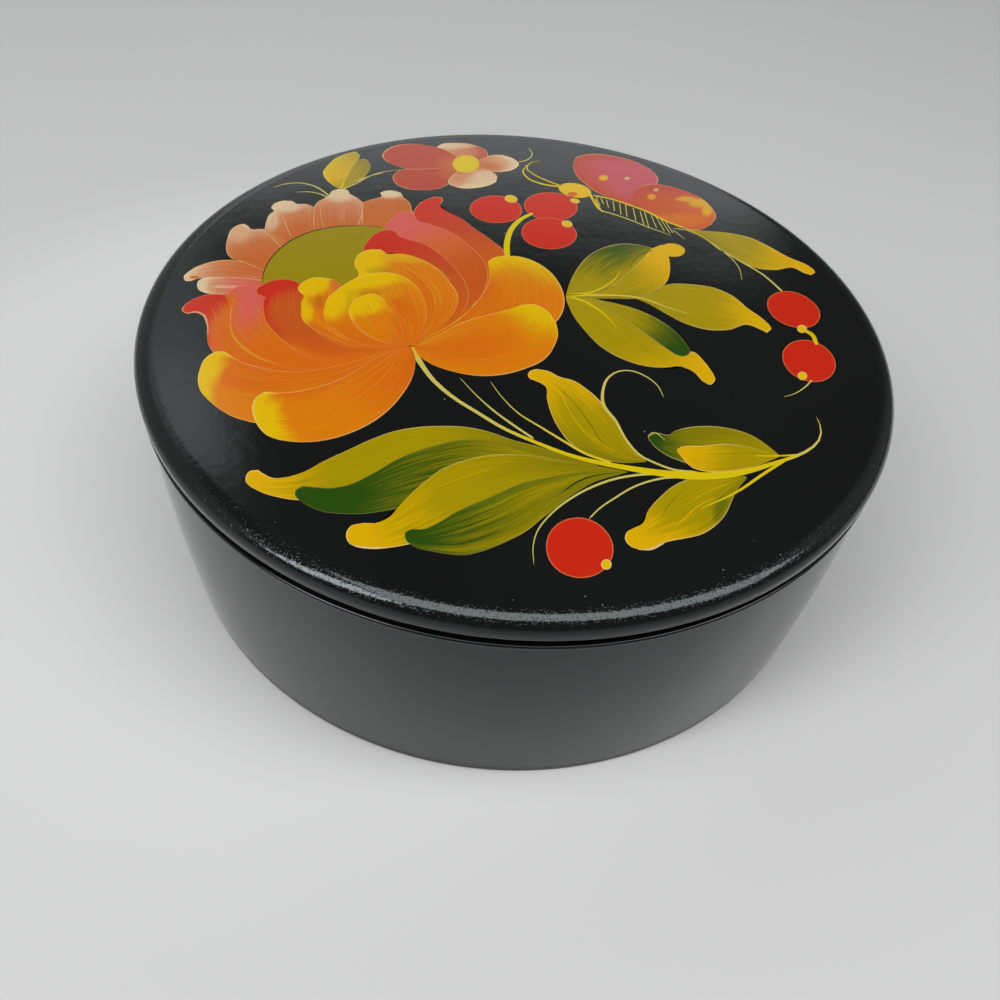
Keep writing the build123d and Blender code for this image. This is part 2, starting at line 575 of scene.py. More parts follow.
def petal(left, right, tip=(), bands=None, light="gold", deep="rust", grain=0.5, rim=0.7, carry=0.03,
          bare_tip=0.1, blushes=()):
    """One brush stroke, given by the pixels of its left edge, its right edge and its tip. The grid runs from
    the start to the tip: the two ruled surfaces between facing edges, added, less the flat one through the
    four corners. Each bristle changes colour up to one carry, a share of the length, sooner or later than
    its neighbours. The bare tip, the last share of the length, has no streaks, because the paint lies thick
    there. The painted highlight on the rim fades in along the stroke."""
    left, right = on_lid(left), on_lid(right)
    tip = np.array([left[-1], *(on_lid(tip) if len(tip) else []), right[-1]])
    start = np.array([left[0], right[0]])
    length = np.hypot(*np.diff(left, axis=0).T).sum()
    tip_length = np.hypot(*np.diff(tip, axis=0).T).sum()
    breadth = np.hypot(*(left - smooth_path(right, len(left))).T).max() + tip_length / 2
    rows = int(np.clip(length / row_pitch, *row_limits))
    columns = int(np.clip(breadth / column_pitch, *column_limits))
    side_l, side_r = smooth_path(left, rows), smooth_path(right, rows)
    end_t, end_s = smooth_path(tip, columns), smooth_path(start, columns)
    u = np.linspace(0, 1, rows)[:, None, None]
    v = np.linspace(0, 1, columns)[None, :, None]
    spots = (
        (1 - v) * side_l[:, None] + v * side_r[:, None] + (1 - u) * end_s[None] + u * end_t[None]
        - (1 - u) * (1 - v) * side_l[0] - (1 - u) * v * side_r[0]
        - u * (1 - v) * side_l[-1] - u * v * side_r[-1]
    )
    u, v = np.broadcast_arrays(u[..., 0], v[..., 0])
    sooner, later = np.clip(u - carry, 0, 1), np.clip(u + carry, 0, 1)
    width = np.hypot(*(side_l - side_r).T)[:, None]
    edge = np.minimum(np.minimum(v, 1 - v) * width, (1 - u) * length)
    seed = seed_step * next(bristle_seed)
    along, across = u * length * millimetres, v * breadth * millimetres
    marks = np.stack([along, across, np.full(u.shape, seed)], axis=-1)
    streaked = grain * np.clip((1 - u - bare_tip) / streak_fade, 0, 1)
    # Strength of the painted rim highlight, fading in from the stroke's start
    rim_highlight = rim * np.clip((u - rim_highlight_start) / rim_highlight_fade, 0, 1)
    return dict(
        spots=spots, paint=blushed(spread(bands, sooner, v), spots, blushes),
        carried=blushed(spread(bands, later, v), spots, blushes),
        light=light, deep=deep, grain=streaked, rim=rim_highlight, edge=edge, marks=marks, wrap=False,
    )


def line(path, widths, pot="straw", end_pot=None):
    """A drawn line: a ribbon along a path of pixels, as wide as the brush was pressed, in millimetres at even
    shares of its length. Its ends are rounded off."""
    path = smooth_path(on_lid(path), line_rows)
    share = np.linspace(0, 1, len(path))
    width = np.interp(share, np.linspace(0, 1, len(widths)), widths) / millimetres
    width = width * np.clip(np.sqrt(np.minimum(share, 1 - share) * end_sharpness), end_width_share, 1)
    slope = np.gradient(path, axis=0)
    side = np.stack([-slope[:, 1], slope[:, 0]], axis=1) / np.hypot(*slope.T)[:, None]
    v = np.linspace(-0.5, 0.5, line_columns)
    spots = path[:, None] + side[:, None] * (v[None, :] * width[:, None])[..., None]
    colour = shades_along(f"{pot}, 1 {end_pot or pot}", share)[:, None] + 0 * spots[..., :1]
    along, across = share[:, None] * line_marks[0], v[None, :] * line_marks[1]
    marks = np.stack([along + 0 * across, across + 0 * along, 0 * spots[..., 0]], axis=-1)
    edge = np.full(spots.shape[:2], no_edge)
    return dict(
        spots=spots, paint=colour, carried=colour, light=pot, deep="olive", grain=0.25, rim=0, edge=edge,
        marks=marks, wrap=False,
    )


def dab(centre, reach, tilt=0, pot="berry", rim_pot=None, grain=0.05, rim=0.3, wobble=0.012):
    """A round touch of the finger or brush end, in pixels: a disc of rings, a little uneven in radius."""
    angle = np.linspace(0, 2 * math.pi, dab_spokes, endpoint=False)
    chance = np.random.default_rng(next(bristle_seed))
    uneven = 1 + sum(
        wobble * chance.normal() * np.cos(k * angle + chance.uniform(0, dab_phase)) / k for k in dab_lobes
    )
    out = np.linspace(0, 1, dab_rings)[:, None]
    turn = math.radians(tilt)
    east = reach[0] * out * np.cos(angle) * uneven
    south = reach[1] * out * np.sin(angle) * uneven
    pixels = np.stack(
        [
            centre[0] + east * math.cos(turn) - south * math.sin(turn),
            centre[1] + east * math.sin(turn) + south * math.cos(turn),
        ],
        axis=-1,
    )
    spots = on_lid(pixels)
    share = out + 0 * east
    colour = shades_along(f"{pot}, {flat_share} {pot}, 1 {rim_pot or pot}", share)
    size = np.hypot(*(spots[-1] - spots[0]).T).mean()
    marks = np.concatenate([spots * millimetres, 0 * spots[..., :1]], axis=-1)
    return dict(
        spots=spots, paint=colour, carried=colour, light=rim_pot or pot, deep=pot, grain=grain, rim=rim,
        edge=(1 - share) * size, marks=marks, wrap=True,
    )


def oil_paint():
    """Oil paint under the lid's clear lacquer. Fine noise stretched along the stroke stands for the bristles:
    it drags the colours on, draws streaks of the brush's light and deep loads, and raises thin ridges.
    The stroke's rim, where paint is pushed up, is a little paler: a painted highlight on the raised edge."""
    shade = Shade(bpy.data.materials.new("oil_paint"))
    tint = {}
    for title in colour_layers:
        tint[title] = shade.node("ShaderNodeAttribute", {"attribute_name": title}, {})["Color"]
    marks = shade.node("ShaderNodeAttribute", {"attribute_name": "marks"}, {})["Vector"]
    habit = shade.node("ShaderNodeAttribute", {"attribute_name": "habit"}, {})["Vector"]
    habit = shade.node("ShaderNodeSeparateXYZ", {}, {"Vector": habit})
    grain, rim, edge = habit["X"], habit["Y"], habit["Z"]
    bristle, streak, hair = (
        shade.noise(shade.stretched(marks, stretch), 1.0, octaves, roughness)
        for stretch, octaves, roughness in bristle_noise.values()
    )
    colour = shade.mix(bristle.step(*carried_band), tint["paint"], tint["carried"])
    colour = shade.mix(streak.step(*light_band) * grain * streak_strength, colour, tint["light"])
    colour = shade.mix(hair.step(*deep_band) * grain * streak_strength, colour, tint["deep"])
    # Painted highlight along the stroke's rim
    painted_light = shade.mix(rim_highlight_share, colour, rim_highlight_colour)
    colour = shade.mix(edge.step(*rim_highlight_band) * rim, colour, painted_light)
    height = bristle * grain + hair * grain * hair_rise
    rough = paint_roughness + hair * hair_roughness
    return shade.paint(base_color=colour, roughness=rough, normal=shade.bump(height, paint_relief), ior=1.34)


paint_material = oil_paint()


def shell_quads(rows, columns, wrap):
    """Quads of a closed thin shell: the upper grid, the lower grid and the walls between their outlines."""
    grid = np.arange(rows * columns).reshape(rows, columns)
    if wrap:
        grid = np.concatenate([grid, grid[:, :1]], axis=1)
    top = np.stack([grid[:-1, :-1], grid[1:, :-1], grid[1:, 1:], grid[:-1, 1:]], axis=-1).reshape(-1, 4)
    under = rows * columns
    rims = [grid[-1]] if wrap else [grid[0], grid[-1], grid[:, 0], grid[:, -1]]
    walls = [np.stack([r[:-1], r[1:], r[1:] + under, r[:-1] + under], axis=-1) for r in rims]
    return np.concatenate([top, top[:, ::-1] + under, *walls])


def painted(name, first_coat, *coats):
    """Puts the strokes of one motif in one mesh. Each coat lies above the last, and may hold several."""
    places, quads = [], []
    layers = {title: [] for title in (*colour_layers, "marks", "habit")}
    base = 0
    for coat, strokes in enumerate(coats, first_coat):
        for stroke in strokes if isinstance(strokes, list) else [strokes]:
            rows, columns = stroke["spots"].shape[:2]
            count = rows * columns
            height = np.full((count, 1), lid_top + coat * coat_thickness)
            upper = np.concatenate([stroke["spots"].reshape(-1, 2), height], axis=1)
            lower = upper * [1, 1, 0] + [0, 0, lid_top - paint_bed]
            places.append(np.concatenate([upper, lower]))
            quads.append(shell_quads(rows, columns, stroke["wrap"]) + base)
            base += 2 * count
            grain = np.broadcast_to(stroke["grain"], (rows, columns)).reshape(-1)
            rim = np.broadcast_to(stroke["rim"], (rows, columns)).reshape(-1)
            values = {
                "paint": stroke["paint"].reshape(-1, 3),
                "carried": stroke["carried"].reshape(-1, 3),
                "light": np.tile(paint_pot[stroke["light"]][:3], (count, 1)),
                "deep": np.tile(paint_pot[stroke["deep"]][:3], (count, 1)),
                "marks": stroke["marks"].reshape(-1, 3),
                "habit": np.stack([grain, rim, stroke["edge"].reshape(-1) * millimetres], axis=-1),
            }
            for title in layers:
                layers[title].append(np.tile(values[title], (2, 1)))
    stored = []
    for title, parts in layers.items():
        values = np.concatenate(parts)
        if title in colour_layers:
            opaque = np.ones((len(values), 1))
            stored.append((title, "FLOAT_COLOR", "color", np.concatenate([values, opaque], axis=1)))
        else:
            stored.append((title, "FLOAT_VECTOR", "vector", values))
    places, quads = np.concatenate(places), np.concatenate(quads)
    made = shell(name, places, quads, paint_material, painted_weld, painted_sharp, stored)
    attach(made, "lid")
    return made


back_band = "apricot, 0.5 apricot, 0.72 peach, 0.84 shell, 0.92 cream"
back_warm_band = "apricot, 0.62 apricot, 0.8 peach, 0.92 shell, 1 cream"
far_left_back_petal = petal(
    left=[(300, 285), (262, 264), (246, 262), (231, 260), (222, 260), (207, 263), (196, 267), (188, 272)],
    right=[(300, 292), (262, 284), (235, 281), (215, 279), (200, 278), (191, 281)],
    tip=[(184, 276), (186, 281)], bands=[back_band, back_warm_band], light="shell", deep="coral", grain=0.35,
    blushes=[((262, 290), (22, 18), "rose", 0.5)],
)
low_left_back_petal = petal(
    left=[(300, 290), (262, 280), (235, 277), (215, 277), (203, 278), (198, 281)],
    right=[(300, 297), (262, 294), (240, 295), (226, 294), (213, 294), (205, 293)],
    tip=[(197, 285), (199, 290)], bands=[back_band], light="cream", deep="peach", grain=0.7,
    blushes=[((238, 288), (22, 14), "rose", 0.7), ((216, 287), (9, 8), "peach", 0.6)],
)
left_back_petal = petal(
    left=[(296, 290), (270, 274), (250, 265), (240, 261), (231, 258), (227, 253), (226, 247), (227, 240),
        (230, 231)],
    right=[(304, 285), (300, 262), (292, 242), (285, 236), (274, 232), (262, 229), (251, 229), (248, 226)],
    tip=[(236, 226), (244, 224)], bands=[back_warm_band, back_band, back_band], light="shell", deep="apricot",
    grain=0.3, blushes=[((239, 233), (9, 9), "shell", 0.9), ((262, 250), (22, 12), "apricot", 0.6)],
)
upper_left_back_petal = petal(
    left=[(306, 285), (286, 255), (274, 240), (265, 231), (266, 223), (270, 214), (274, 211), (271, 208)],
    right=[(322, 285), (320, 255), (318, 230), (315, 215), (313, 207), (306, 204), (297, 204), (292, 201)],
    tip=[(274, 204), (282, 201)], bands=[back_band, back_warm_band, back_warm_band], light="shell",
    deep="apricot", grain=0.35,
    blushes=[((285, 206), (17, 6), "cream", 0.8), ((271, 220), (8, 10), "cream", 0.6)],
)
right_back_petal = petal(
    left=[(345, 285), (350, 255), (356, 230), (360, 212), (362, 203), (373, 199), (382, 196), (380, 193)],
    right=[(400, 262), (410, 240), (414, 225), (412, 210), (409, 202), (403, 197), (401, 193)],
    tip=[(385, 191), (395, 191)],
    bands=["apricot, 0.8 apricot, 0.9 peach, 0.96 cream", "apricot, 0.88 apricot, 0.95 shell, 1 cream"],
    light="peach", deep="coral", grain=0.35, blushes=[((390, 194), (11, 4), "cream", 0.9)],
)
middle_back_petal = petal(
    left=[(325, 285), (318, 255), (314, 230), (313, 215), (314, 207), (318, 202), (328, 196), (332, 191)],
    right=[(350, 285), (358, 255), (362, 230), (363, 212), (362, 202), (357, 198), (350, 194)],
    tip=[(340, 189), (347, 190)], bands=[back_warm_band, back_warm_band], light="shell", deep="apricot",
    grain=0.45, blushes=[((340, 193), (16, 8), "cream", 0.85)],
)
painted(
    "peony_back_petals", 1,
    far_left_back_petal,
    [low_left_back_petal, dab((194.5, 277.3), (5.5, 1.7), pot="apricot", rim_pot="shell", rim=0)],
    left_back_petal,
    [upper_left_back_petal, line([(256, 240), (267, 243), (280, 250)], (0.2, 0.25, 0.2), "apricot")],
    [right_back_petal, line([(281, 212), (285, 223), (291, 237)], (0.15, 0.25, 0.15), "shell")],
    middle_back_petal,
    [line([(231, 259), (250, 261), (266, 263)], (0.15, 0.2, 0.2), "apricot"),
     line([(274, 232), (284, 237), (293, 245)], (0.2, 0.2, 0.2), "apricot"),
     line([(313, 207), (313, 222), (315, 236)], (0.15, 0.2, 0.2), "apricot"),
     line([(320, 203), (321, 216), (324, 230)], (0.12, 0.15, 0.12), "shell"),
     line([(363, 203), (362, 214), (358, 226)], (0.2, 0.3, 0.2), "shell")],
)

# Peony, heart
# A flat olive patch that stands for the open middle of the flower, with a thin dark line where it turns in.
heart_patch = petal(
    left=[(261, 292), (262, 282), (264, 272), (270, 260), (281, 248), (296, 238), (314, 231), (336, 227),
        (364, 226), (386, 228)],
    right=[(300, 310), (330, 305), (356, 296), (372, 276), (386, 250)],
    bands=["heart"], light="olive", deep="moss", grain=0.12, rim=0,
)
painted(
    "peony_heart", 8,
    heart_patch,
    line([(262, 284), (264, 272), (270, 260), (281, 248), (296, 238), (314, 231), (336, 227), (364, 226),
        (384, 228)], (0.12, 0.32, 0.36, 0.32, 0.12), "ink"),
)

# Peony, red petals
# Broad comma strokes of red and rose that sweep round the heart and meet where the stem begins.
# An orange ground is laid first, so that no black shows between them.
ground_band = "flame, 0.7 flame, 1 coral"
left_ground = petal(
    left=[(410, 350), (350, 372), (300, 380), (250, 372), (222, 352), (214, 340)],
    right=[(412, 344), (378, 330), (344, 308), (314, 290), (290, 286), (262, 292), (236, 293)],
    bands=[ground_band], light="orange", deep="rust", grain=0.3, rim=0,
)
right_ground = petal(
    left=[(414, 348), (460, 346), (510, 330), (530, 306), (516, 280), (494, 262)],
    right=[(408, 344), (424, 322), (428, 300), (426, 280), (416, 262), (400, 246)],
    bands=[ground_band], light="orange", deep="rust", grain=0.3, rim=0,
)
left_red_petal = petal(
    left=[(300, 372), (262, 368), (236, 362), (216, 355), (209, 346), (207, 336), (207, 322), (203, 315),
        (194, 313), (187, 314)],
    right=[(310, 364), (262, 356), (244, 346), (233, 330), (231, 315), (232, 302), (226, 295), (217, 294),
        (206, 295), (194, 299)],
    tip=[(182, 311), (186, 304)],
    bands=["flame, 0.4 flame, 0.56 coral, 0.66 red", "flame, 0.5 flame, 0.72 coral, 0.8 red",
        "orange, 0.5 flame, 0.74 flame, 0.8 red"],
    light="coral", deep="brick", grain=0.35,
)
left_rose_petal = petal(
    left=[(340, 368), (290, 368), (273, 363), (256, 356), (242, 346), (233, 335), (230, 323), (234, 308),
        (234, 301), (226, 297)],
    right=[(350, 358), (305, 357), (294, 350), (284, 340), (275, 327), (270, 313), (272, 300), (266, 290)],
    tip=[(230, 291), (240, 286), (254, 286)],
    bands=["flame, 0.55 flame, 0.66 coral, 0.9 coral", "flame, 0.5 flame, 0.62 coral, 0.74 rose",
        "flame, 0.55 flame, 0.75 coral, 0.88 rose"],
    light="amber", deep="coral", grain=0.3, rim=0.3,
)
left_crimson_petal = petal(
    left=[(366, 354), (330, 360), (305, 355), (286, 343), (273, 331), (265, 319), (265, 308), (268, 300),
        (263, 297), (257, 295)],
    right=[(392, 348), (350, 348), (328, 340), (314, 330), (306, 317), (306, 304), (306, 292), (300, 284)],
    tip=[(256, 290), (264, 284), (276, 280), (290, 280)],
    bands=["flame, 0.4 flame, 0.58 brick, 0.7 red", "flame, 0.45 rust, 0.8 rust, 0.88 red",
        "flame, 0.45 rust, 0.86 rust, 0.92 red"],
    light="coral", deep="brick", grain=0.4, rim=0.3,
)
outer_right_red_petal = petal(
    left=[(418, 346), (448, 336), (474, 318), (494, 292), (505, 266), (503, 250), (491, 240), (475, 229),
        (460, 218), (448, 212), (440, 206), (443, 201)],
    right=[(410, 344), (440, 330), (460, 305), (466, 280), (456, 256), (440, 240), (424, 232), (414, 222),
        (414, 211), (420, 203)],
    tip=[(442, 198), (436, 197), (428, 199)], bands=["flame, 0.45 flame, 0.62 rust, 0.76 brick, 0.9 red"],
    light="coral", deep="brick", grain=0.25,
)
right_rose_petal = petal(
    left=[(416, 346), (448, 334), (470, 314), (485, 290), (488, 272), (484, 261), (472, 248), (456, 235),
        (444, 229), (429, 224), (416, 219), (414, 213)],
    right=[(410, 344), (440, 328), (458, 308), (464, 290), (458, 272), (447, 261), (434, 251), (420, 245),
        (403, 240), (397, 235), (387, 229)],
    tip=[(408, 211), (399, 213), (391, 220), (385, 226)],
    bands=["flame, 0.4 rust, 0.6 rust, 0.72 coral, 0.9 rose"], light="coral", deep="rust", grain=0.25,
    rim=0.3,
)
right_crimson_petal = petal(
    left=[(416, 346), (444, 334), (462, 314), (469, 296), (464, 280), (453, 266), (438, 253), (423, 244),
        (409, 240), (399, 236), (396, 231)],
    right=[(408, 344), (430, 320), (436, 300), (428, 284), (412, 272), (394, 264), (376, 260), (364, 252)],
    tip=[(386, 230), (375, 234), (368, 241), (364, 247)], bands=["flame, 0.5 rust, 0.68 brick, 0.85 red"],
    light="rust", deep="brick", grain=0.35, rim=0.3,
)
painted(
    "peony_red_petals", 10,
    [left_ground, right_ground],
    [left_red_petal, outer_right_red_petal],
    [left_rose_petal, right_rose_petal,
     line([(187, 314), (195, 312), (203, 315), (207, 323), (208, 335)], (0.2, 0.45, 0.45, 0.3, 0.15),
         "shell")],
    [left_crimson_petal, right_crimson_petal,
     line([(230, 322), (232, 333), (241, 346), (256, 357), (276, 365)], (0.2, 0.4, 0.4, 0.3, 0.12), "amber"),
     line([(235, 307), (232, 302), (226, 295)], (0.4, 0.7, 0.4), "coral")],
    [line([(269, 294), (267, 301), (265, 311)], (0.5, 1.3, 0.4), "red"),
     line([(308, 300), (309, 315), (316, 328)], (0.12, 0.2, 0.12), "coral"),
     line([(263, 310), (266, 322), (276, 335), (290, 346), (310, 355)], (0.15, 0.25, 0.3, 0.25, 0.12),
         "orange"),
     line([(255, 304), (258, 309), (261, 316)], (0.12, 0.2, 0.12), "peach")],
)

# Peony, lower petals
# Four fat strokes of orange tipped with yellow, which hang below the heart to the left and right.
lower_left_petal = petal(
    left=[(404, 346), (370, 357), (341, 365), (313, 370), (275, 371), (256, 367), (237, 360), (225, 352)],
    right=[(408, 350), (384, 372), (350, 394), (312, 410), (280, 420), (254, 423), (246, 421), (233, 417),
        (219, 409), (208, 400)],
    tip=[(216, 352), (206, 358), (200, 369), (198, 382), (201, 392)],
    bands=["flame, 0.6 flame, 0.93 flame, 0.95 yellow", "flame, 0.6 flame, 0.885 flame, 0.905 yellow",
        "flame, 0.5 orange, 0.905 orange, 0.93 yellow", "orange, 0.93 orange, 0.98 yellow"],
    light="amber", deep="rust", grain=0.6, carry=0.012,
)
lower_middle_petal = petal(
    left=[(405, 346), (390, 352), (370, 362), (351, 374), (323, 386), (294, 392), (274, 393), (265, 392)],
    right=[(411, 347), (415, 357), (415, 368), (411, 381), (403, 394), (390, 409), (370, 424), (351, 433),
        (332, 439), (313, 442), (294, 442), (279, 440)],
    tip=[(256, 398), (252, 408), (254, 418), (260, 429), (268, 436)],
    bands=["flame, 0.4 flame, 0.925 flame, 0.945 yellow",
        "flame, 0.3 flame, 0.6 orange, 0.855 orange, 0.88 yellow",
        "flame, 0.3 flame, 0.6 orange, 0.865 orange, 0.9 yellow",
        "rust, 0.3 flame, 0.6 orange, 0.9 orange, 0.97 yellow"],
    light="amber", deep="flame", grain=0.6, carry=0.015,
)
upper_right_petal = petal(
    left=[(420, 347), (455, 350), (500, 340), (540, 330), (557, 321), (564, 308), (564, 296), (560, 285),
        (550, 272), (537, 263), (520, 257), (504, 256)],
    right=[(414, 344), (440, 331), (466, 313), (484, 292), (490, 277), (489, 268)],
    tip=[(494, 258), (488, 263)],
    bands=["flame, 0.3 orange, 0.68 orange, 0.8 gold, 0.88 yellow",
        "flame, 0.3 flame, 0.74 orange, 0.88 amber, 0.95 yellow", "flame, 0.8 flame, 0.93 amber, 1 gold"],
    light="amber", deep="rust", grain=0.6,
)
lower_right_petal = petal(
    left=[(413, 347), (419, 356), (431, 364), (454, 372), (478, 376), (502, 375), (525, 369), (544, 360),
        (554, 347), (558, 335), (556, 323)],
    right=[(415, 345), (440, 334), (464, 322), (488, 315), (504, 311), (514, 308)],
    tip=[(548, 312), (535, 305), (524, 305)],
    bands=["orange, 0.5 orange, 0.85 orange, 0.94 gold, 1 yellow",
        "flame, 0.5 flame, 0.72 orange, 0.84 gold, 0.9 yellow",
        "amber, 0.3 orange, 0.78 orange, 0.88 gold, 1 yellow"],
    light="amber", deep="flame", grain=0.5,
)
painted(
    "peony_lower_petals", 15,
    [lower_left_petal, upper_right_petal],
    [lower_middle_petal, lower_right_petal],
    [line([(400, 349), (376, 366), (346, 384), (312, 397)], (0.1, 0.18, 0.18, 0.1), "glow"),
     line([(401, 350), (381, 369), (356, 386), (330, 396)], (0.1, 0.15, 0.15, 0.1), "glow"),
     line([(402, 351), (384, 376), (362, 395), (334, 409)], (0.1, 0.18, 0.18, 0.1), "glow"),
     line([(396, 348), (366, 358), (330, 368), (290, 374)], (0.1, 0.18, 0.15, 0.1), "glow"),
     line([(394, 350), (362, 364), (324, 377), (286, 382)], (0.1, 0.15, 0.15, 0.1), "glow"),
     line([(424, 350), (452, 358), (484, 360), (516, 352)], (0.1, 0.15, 0.15, 0.1), "glow"),
     line([(422, 345), (446, 337), (470, 328), (500, 322)], (0.1, 0.2, 0.2, 0.1), "glow")],
)

# Peony, yellow inner petals
# The last strokes of the flower, full of yellow, curling over the heart one in front of the other.
left_yellow_petal = petal(
    left=[(392, 349), (351, 346), (332, 339), (313, 329), (304, 322), (301, 315), (302, 308), (306, 301),
        (304, 296), (299, 292)],
    right=[(394, 346), (370, 338), (352, 326), (342, 312), (338, 300), (342, 290), (341, 285)],
    tip=[(298, 288), (304, 282), (313, 278), (323, 278), (333, 280)],
    bands=["flame, 0.55 flame, 0.64 orange, 0.7 yellow", "flame, 0.6 orange, 0.8 amber, 0.88 yellow",
        "flame, 0.6 flame, 0.86 orange, 0.93 yellow", "flame, 0.7 rust, 1 coral"],
    light="gold", deep="rust", grain=0.55, rim=0.3, carry=0.02,
    blushes=[((306, 313), (7, 10), "yellow", 0.9), ((313, 287), (13, 9), "yellow", 0.95),
        ((318, 302), (5, 8), "umber", 0.25), ((336, 284), (7, 6), "coral", 0.8)],
)
upper_yellow_petal = petal(
    left=[(406, 346), (414, 332), (416, 314), (412, 298), (402, 288), (390, 281), (376, 277), (364, 279),
        (357, 278)],
    right=[(416, 346), (437, 331), (449, 319), (457, 307), (458, 295), (451, 284), (441, 273), (430, 264.5),
        (414, 257), (401, 254), (387, 254), (381, 250)],
    tip=[(359, 273), (355, 267), (355, 260), (361, 253), (370, 250)],
    bands=["flame, 0.5 flame, 0.74 orange, 0.84 amber, 0.92 yellow",
        "flame, 0.6 flame, 0.78 orange, 0.86 amber, 0.91 yellow",
        "flame, 0.5 orange, 0.7 orange, 0.8 amber, 0.9 yellow"],
    light="gold", deep="rust", grain=0.6, rim=0.3,
    blushes=[((369, 262), (17, 13), "yellow", 0.95), ((404, 259), (26, 4), "gold", 0.6),
        ((380, 271), (14, 4), "moss", 0.35)],
)
front_yellow_petal = petal(
    left=[(405, 347), (370, 347), (351, 341), (338, 333), (328, 325), (324, 317), (324, 310)],
    right=[(411, 345), (420, 334), (426, 320), (425, 303), (418, 288), (408, 279)],
    tip=[(327, 300), (336, 291), (346, 284), (357, 278), (372, 274), (390, 273)],
    bands=["flame, 0.6 flame, 0.82 orange, 0.9 yellow", "flame, 0.5 flame, 0.7 orange, 0.8 yellow",
        "flame, 0.5 flame, 0.78 orange, 0.88 yellow", "flame, 0.55 flame, 0.86 orange, 0.94 yellow",
        "flame, 0.7 orange, 0.9 amber, 1 gold"],
    light="gold", deep="rust", grain=0.6, rim=0.3,
    blushes=[((372, 280), (26, 8), "yellow", 0.95), ((344, 292), (15, 13), "yellow", 0.95),
        ((332, 308), (9, 11), "yellow", 0.9), ((366, 293), (20, 4), "moss", 0.3),
        ((349, 304), (4, 10), "moss", 0.25), ((392, 292), (12, 7), "amber", 0.6)],
)
small_yellow_petal = petal(
    left=[(402, 346), (384, 343), (368, 336), (357, 327), (351, 319), (348, 311)],
    right=[(407, 345), (403, 332), (397, 318), (389, 307)],
    tip=[(353, 302), (363, 296), (373, 294), (382, 298)],
    bands=["flame, 0.4 orange, 0.76 orange, 0.86 yellow", "flame, 0.4 orange, 0.66 orange, 0.76 yellow",
        "flame, 0.6 flame, 0.86 orange, 0.97 gold"],
    light="amber", deep="rust", grain=0.55, rim=0.3, blushes=[((365, 306), (15, 9), "yellow", 0.95)],
)
painted(
    "peony_inner_petals", 18,
    left_yellow_petal,
    [upper_yellow_petal,
     line([(307, 294), (304.5, 302), (302, 312)], (0.5, 1.3, 0.4), "gold", end_pot="yellow")],
    front_yellow_petal,
    [small_yellow_petal, line([(325, 322), (332, 332), (350, 343)], (0.2, 0.25, 0.12), "glow"),
     line([(388, 255), (404, 255), (421, 260), (440, 271), (451, 281)], (0.2, 0.3, 0.25, 0.2, 0.1), "gold"),
     line([(404, 262), (422, 269), (437, 281), (445, 296)], (0.1, 0.16, 0.18, 0.1), "glow"),
     line([(400, 268), (418, 274), (432, 287), (440, 303)], (0.1, 0.15, 0.18, 0.1), "glow"),
     line([(412, 259), (430, 268), (443, 280), (451, 295)], (0.1, 0.15, 0.18, 0.1), "glow"),
     line([(396, 276), (409, 281), (419, 290)], (0.1, 0.2, 0.1), "gold"),
     line([(390, 284), (404, 289), (415, 300), (420, 316)], (0.1, 0.15, 0.18, 0.1), "glow")],
    [line([(349, 317), (356, 327), (368, 337), (386, 344)], (0.2, 0.28, 0.2, 0.12), "glow"),
     line([(378, 301), (392, 308), (403, 319), (409, 333)], (0.1, 0.16, 0.18, 0.1), "glow"),
     line([(372, 317), (384, 324), (394, 332), (402, 341)], (0.1, 0.15, 0.15, 0.1), "glow"),
     line([(453, 292), (453, 304), (447, 316), (435, 328)], (0.1, 0.18, 0.2, 0.1), "glow"),
     line([(436, 318), (430, 328), (421, 338)], (0.1, 0.2, 0.1), "glow"),
     line([(422, 341), (432, 335), (444, 329), (457, 321.5), (468, 312), (477, 300)],
         (0.15, 0.3, 0.35, 0.3, 0.2, 0.1), "amber")],
)

# Left branch leaves
# Each leaf is two strokes: one olive tipped with yellow, and one drawn beside it with a dark green load.
upper_left_leaf = petal(
    left=[(598, 465), (565, 455), (537, 446), (513, 440), (490, 432), (466, 427), (442, 426), (419, 427),
        (395, 431), (372, 439), (348, 450), (324, 461), (301, 473), (287, 477), (273, 478), (264, 474),
        (258, 470)],
    right=[(598, 468), (560, 470), (520, 469), (480, 468), (440, 470), (400, 478), (360, 490), (325, 499),
        (295, 500), (277, 497), (263, 493), (251, 487)],
    tip=[(250, 471), (246, 476), (246, 482)], bands=["moss, 0.25 moss, 0.45 olive, 0.8 olive, 0.92 gold"],
    light="olive", deep="moss", grain=0.55, carry=0.04,
)
upper_left_green_stroke = petal(
    left=[(560, 461), (520, 449), (480, 440), (460, 440), (440, 444), (420, 450), (400, 458), (372, 474),
        (348, 485), (331, 488), (313, 487), (303, 486)],
    right=[(560, 467), (520, 478), (480, 488), (440, 498), (395, 509), (362, 514), (343, 514), (324, 512),
        (308, 506), (299, 500)],
    tip=[(296, 490), (295, 495)],
    bands=["olive, 0.25 moss, 0.5 fern, 0.72 leaf", "olive, 0.34 moss, 0.48 fern, 0.62 leaf",
        "olive, 0.4 moss, 0.54 fern, 0.66 leaf"],
    light="moss", deep="leaf", grain=0.8, rim=0.12, carry=0.13, bare_tip=0.24,
)
lower_left_leaf = petal(
    left=[(627, 471.5), (598, 466), (560, 460), (525, 455), (490, 455), (466, 460), (442, 469), (428, 479),
        (414, 491), (400, 505), (388, 518), (376, 523), (364, 523)],
    right=[(627, 472.5), (590, 480), (555, 490), (520, 502), (485, 515), (455, 528), (430, 538), (410, 544),
        (395, 547), (372, 549), (356, 547)],
    tip=[(351, 526), (346, 534), (349, 543)],
    bands=["moss, 0.3 moss, 0.5 olive, 0.74 olive, 0.88 gold", "moss, 0.3 olive, 0.72 olive, 0.86 gold"],
    light="gold", deep="moss", grain=0.5, carry=0.08,
)
